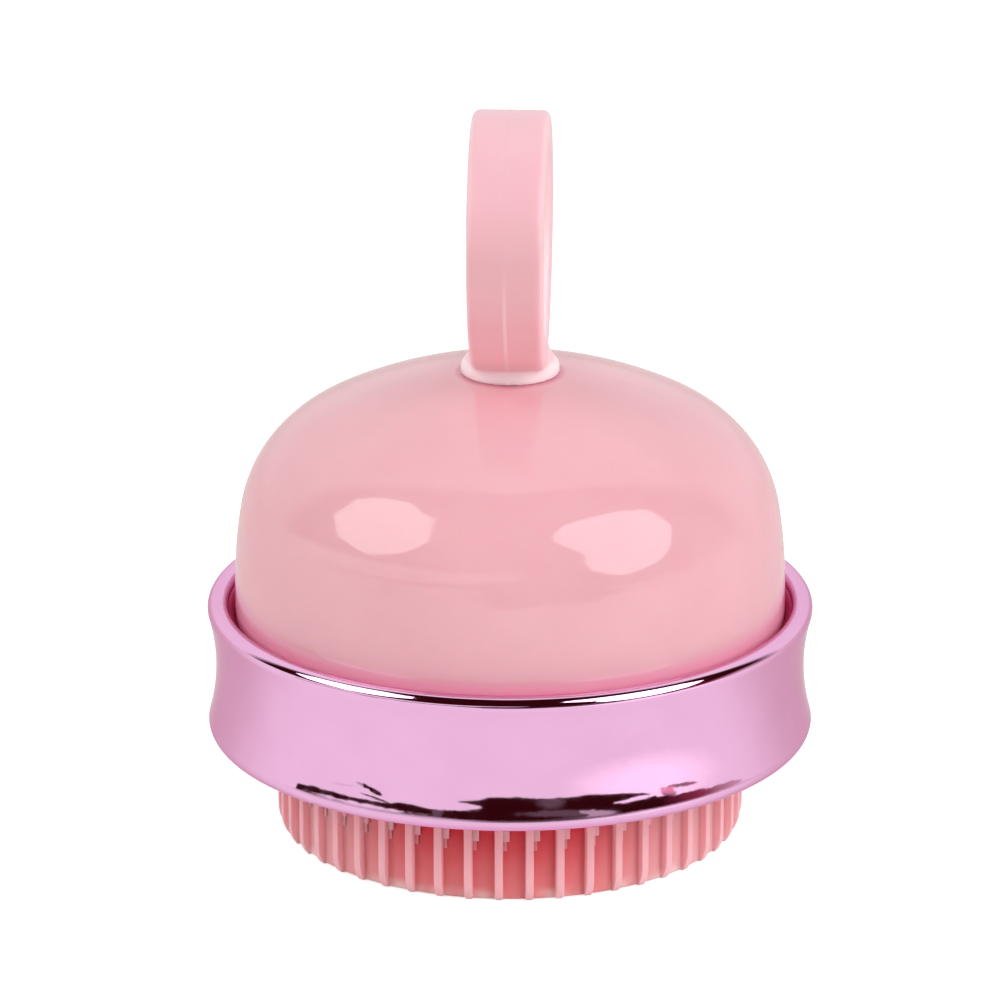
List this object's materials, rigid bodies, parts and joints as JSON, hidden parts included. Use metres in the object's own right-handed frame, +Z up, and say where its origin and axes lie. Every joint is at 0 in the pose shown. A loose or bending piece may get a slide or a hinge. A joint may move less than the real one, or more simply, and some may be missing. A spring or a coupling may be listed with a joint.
{
  "type": "handheld bath and massage brush",
  "caption": "Palm brush with a domed grip, a swivelling finger ring, a waisted plated band and a soft ribbed bristle pad on a twist-off head.",
  "frame": {"origin": "on the brush's axis, in the plane of the bristle rim's lower edge, on which it stands", "axes": "+Z up along the axis of the dome, the band and the pad; the finger ring lies in the Y-Z plane with its hole along X; -Y is the front"},
  "size_m": [0.0804, 0.0804, 0.0976],
  "materials": {
    "dome_gloss": "polished moulded plastic, light pink",
    "ring_matte": "soft-touch matte, light pink",
    "plated_band": "moulded plastic plated to a pink-lilac metallic mirror",
    "base_plastic": "fine moulded plastic, pink",
    "inner_plastic": "plain moulded plastic, pale pink",
    "pad_silicone": "translucent silicone, pink",
    "acetal": "natural white acetal",
    "seal_rubber": "black seal rubber",
    "stem_steel": "turned stainless steel",
    "screw_steel": "stainless screws"
  },
  "bodies": {
    "dome": {"dome_shell": "dome_gloss", "swivel_bush": "acetal", "core_plate": "inner_plastic", "core_screws": "screw_steel", "head_gasket": "seal_rubber"},
    "finger_loop": {"finger_ring": "ring_matte", "ring_stem": "stem_steel", "stem_seal": "seal_rubber", "stem_washer": "stem_steel", "stem_screw": "screw_steel"},
    "brush_head": {"trim_band": "plated_band", "base_ring": "base_plastic", "bristle_pad": "pad_silicone", "socket_plate": "inner_plastic", "pad_screws": "screw_steel"}
  },
  "joints": [
    {"name": "ring_swivel", "type": "hinge", "parent": "dome", "child": "finger_loop", "pos_m": [0, 0, 0.0625], "axis": [0, 0, 1], "continuous": true},
    {"name": "head_twist", "type": "hinge", "parent": "dome", "child": "brush_head", "pos_m": [0, 0, 0.0225], "axis": [0, 0, 1], "range_deg": [0, 30]}
  ]
}
